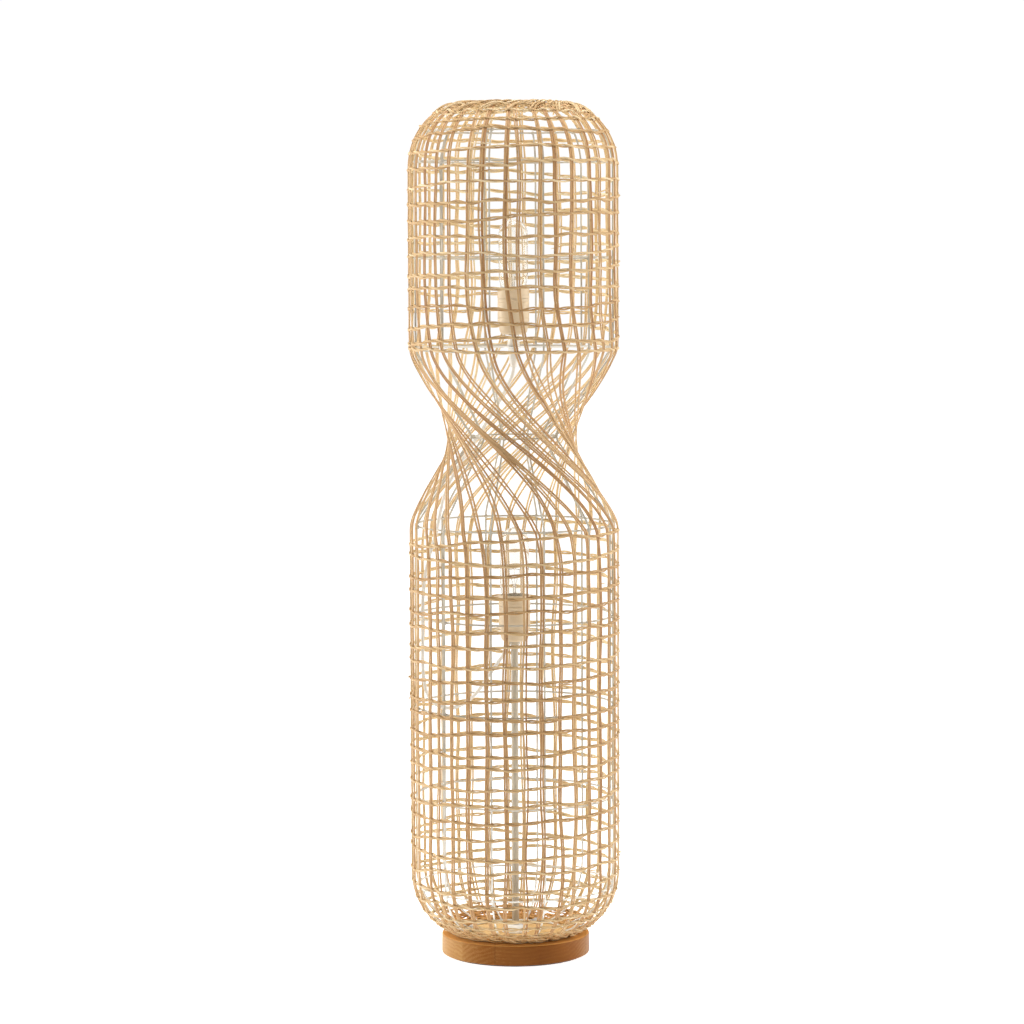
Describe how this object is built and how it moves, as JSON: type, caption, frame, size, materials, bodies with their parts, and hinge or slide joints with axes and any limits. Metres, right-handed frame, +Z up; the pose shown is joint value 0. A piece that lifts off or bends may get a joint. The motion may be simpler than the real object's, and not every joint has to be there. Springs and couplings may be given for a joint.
{
  "type": "floor lamp",
  "caption": "Woven rattan floor lamp, a tall round basket shade with a twisted waist over a wire frame on a round wooden base, with bulbs in screw holders.",
  "frame": {"origin": "centre of the underside of the base, on the floor", "axes": "+Z up along the lamp's axis, the front towards -Y, the mains inlet at the back towards +Y"},
  "size_m": [0.294, 0.294, 1.2],
  "materials": {
    "rattan": "natural split rattan, lightly lacquered",
    "beech": "clear satin lacquer over fine-grained wood",
    "white_steel": "white powder coat",
    "bare_steel": "zinc plated",
    "iron": "rough cut plate",
    "felt": "pressed felt",
    "beige_plastic": "smooth moulded thermoplastic",
    "brass": "drawn sheet",
    "ceramic": "unglazed",
    "clear_glass": "clear blown glass",
    "white_pvc": "smooth cable sheath"
  },
  "bodies": {
    "lamp": {"ballast_disc": "iron", "base_felt": "felt", "cord_gland": "beige_plastic", "crossbar": "white_steel", "frame_foot_ring": "white_steel", "frame_lower_ring_1": "white_steel", "frame_lower_ring_2": "white_steel", "frame_lower_ring_3": "white_steel", "frame_lower_ring_4": "white_steel", "frame_lower_ring_5": "white_steel", "frame_screw_1": "bare_steel", "frame_screw_2": "bare_steel", "frame_screw_3": "bare_steel", "frame_upper_ring_1": "white_steel", "frame_upper_ring_2": "white_steel", "frame_upper_ring_3": "white_steel", "frame_upper_ring_4": "white_steel", "frame_upright_01": "white_steel", "frame_upright_02": "white_steel", "frame_upright_03": "white_steel", "frame_upright_04": "white_steel", "frame_upright_05": "white_steel", "frame_upright_06": "white_steel", "frame_upright_07": "white_steel", "frame_upright_08": "white_steel", "frame_upright_09": "white_steel", "frame_upright_10": "white_steel", "frame_upright_11": "white_steel", "frame_upright_12": "white_steel", "frame_waist_ring": "white_steel", "inner_cord": "white_pvc", "lower_contact_block": "ceramic", "lower_holder_body": "beige_plastic", "lower_holder_cap": "beige_plastic", "lower_holder_collar": "beige_plastic", "lower_holder_sleeve": "brass", "lower_weave": "rattan", "stem_base_nut": "bare_steel", "stem_flange": "white_steel", "stem_top_nut": "white_steel", "stem_tube": "white_steel", "upper_contact_block": "ceramic", "upper_cord_grip": "beige_plastic", "upper_holder_body": "beige_plastic", "upper_holder_cap": "beige_plastic", "upper_holder_collar": "beige_plastic", "upper_holder_sleeve": "brass", "upper_nipple": "white_steel", "upper_weave": "rattan", "waist_weave": "rattan", "wood_base": "beech"},
    "upper_contact": {"upper_bulb_contact": "brass"},
    "upper_bulb": {"upper_bulb_glass": "clear_glass", "upper_bulb_cap": "brass", "upper_bulb_mount": "clear_glass"},
    "lower_contact": {"lower_bulb_contact": "brass"},
    "lower_bulb": {"lower_bulb_glass": "clear_glass", "lower_bulb_cap": "brass", "lower_bulb_mount": "clear_glass"}
  },
  "joints": [
    {"name": "upper_bulb_rise", "type": "slide", "parent": "lamp", "child": "upper_contact", "axis": [0, 0, 1], "range_m": [0, 0.0219]},
    {"name": "upper_bulb_turn", "type": "hinge", "parent": "upper_contact", "child": "upper_bulb", "pos_m": [0, 0, 0.9004], "axis": [0, 0, 1], "range_deg": [0, 2160]},
    {"name": "lower_bulb_rise", "type": "slide", "parent": "lamp", "child": "lower_contact", "axis": [0, 0, 1], "range_m": [0, 0.0219]},
    {"name": "lower_bulb_turn", "type": "hinge", "parent": "lower_contact", "child": "lower_bulb", "pos_m": [0, 0, 0.468], "axis": [0, 0, 1], "range_deg": [0, 2160]}
  ],
  "couplings": [
    {"joint": "upper_bulb_rise", "follows": "upper_bulb_turn", "m_per_rad": 0.00057773},
    {"joint": "lower_bulb_rise", "follows": "lower_bulb_turn", "m_per_rad": 0.00057773}
  ]
}
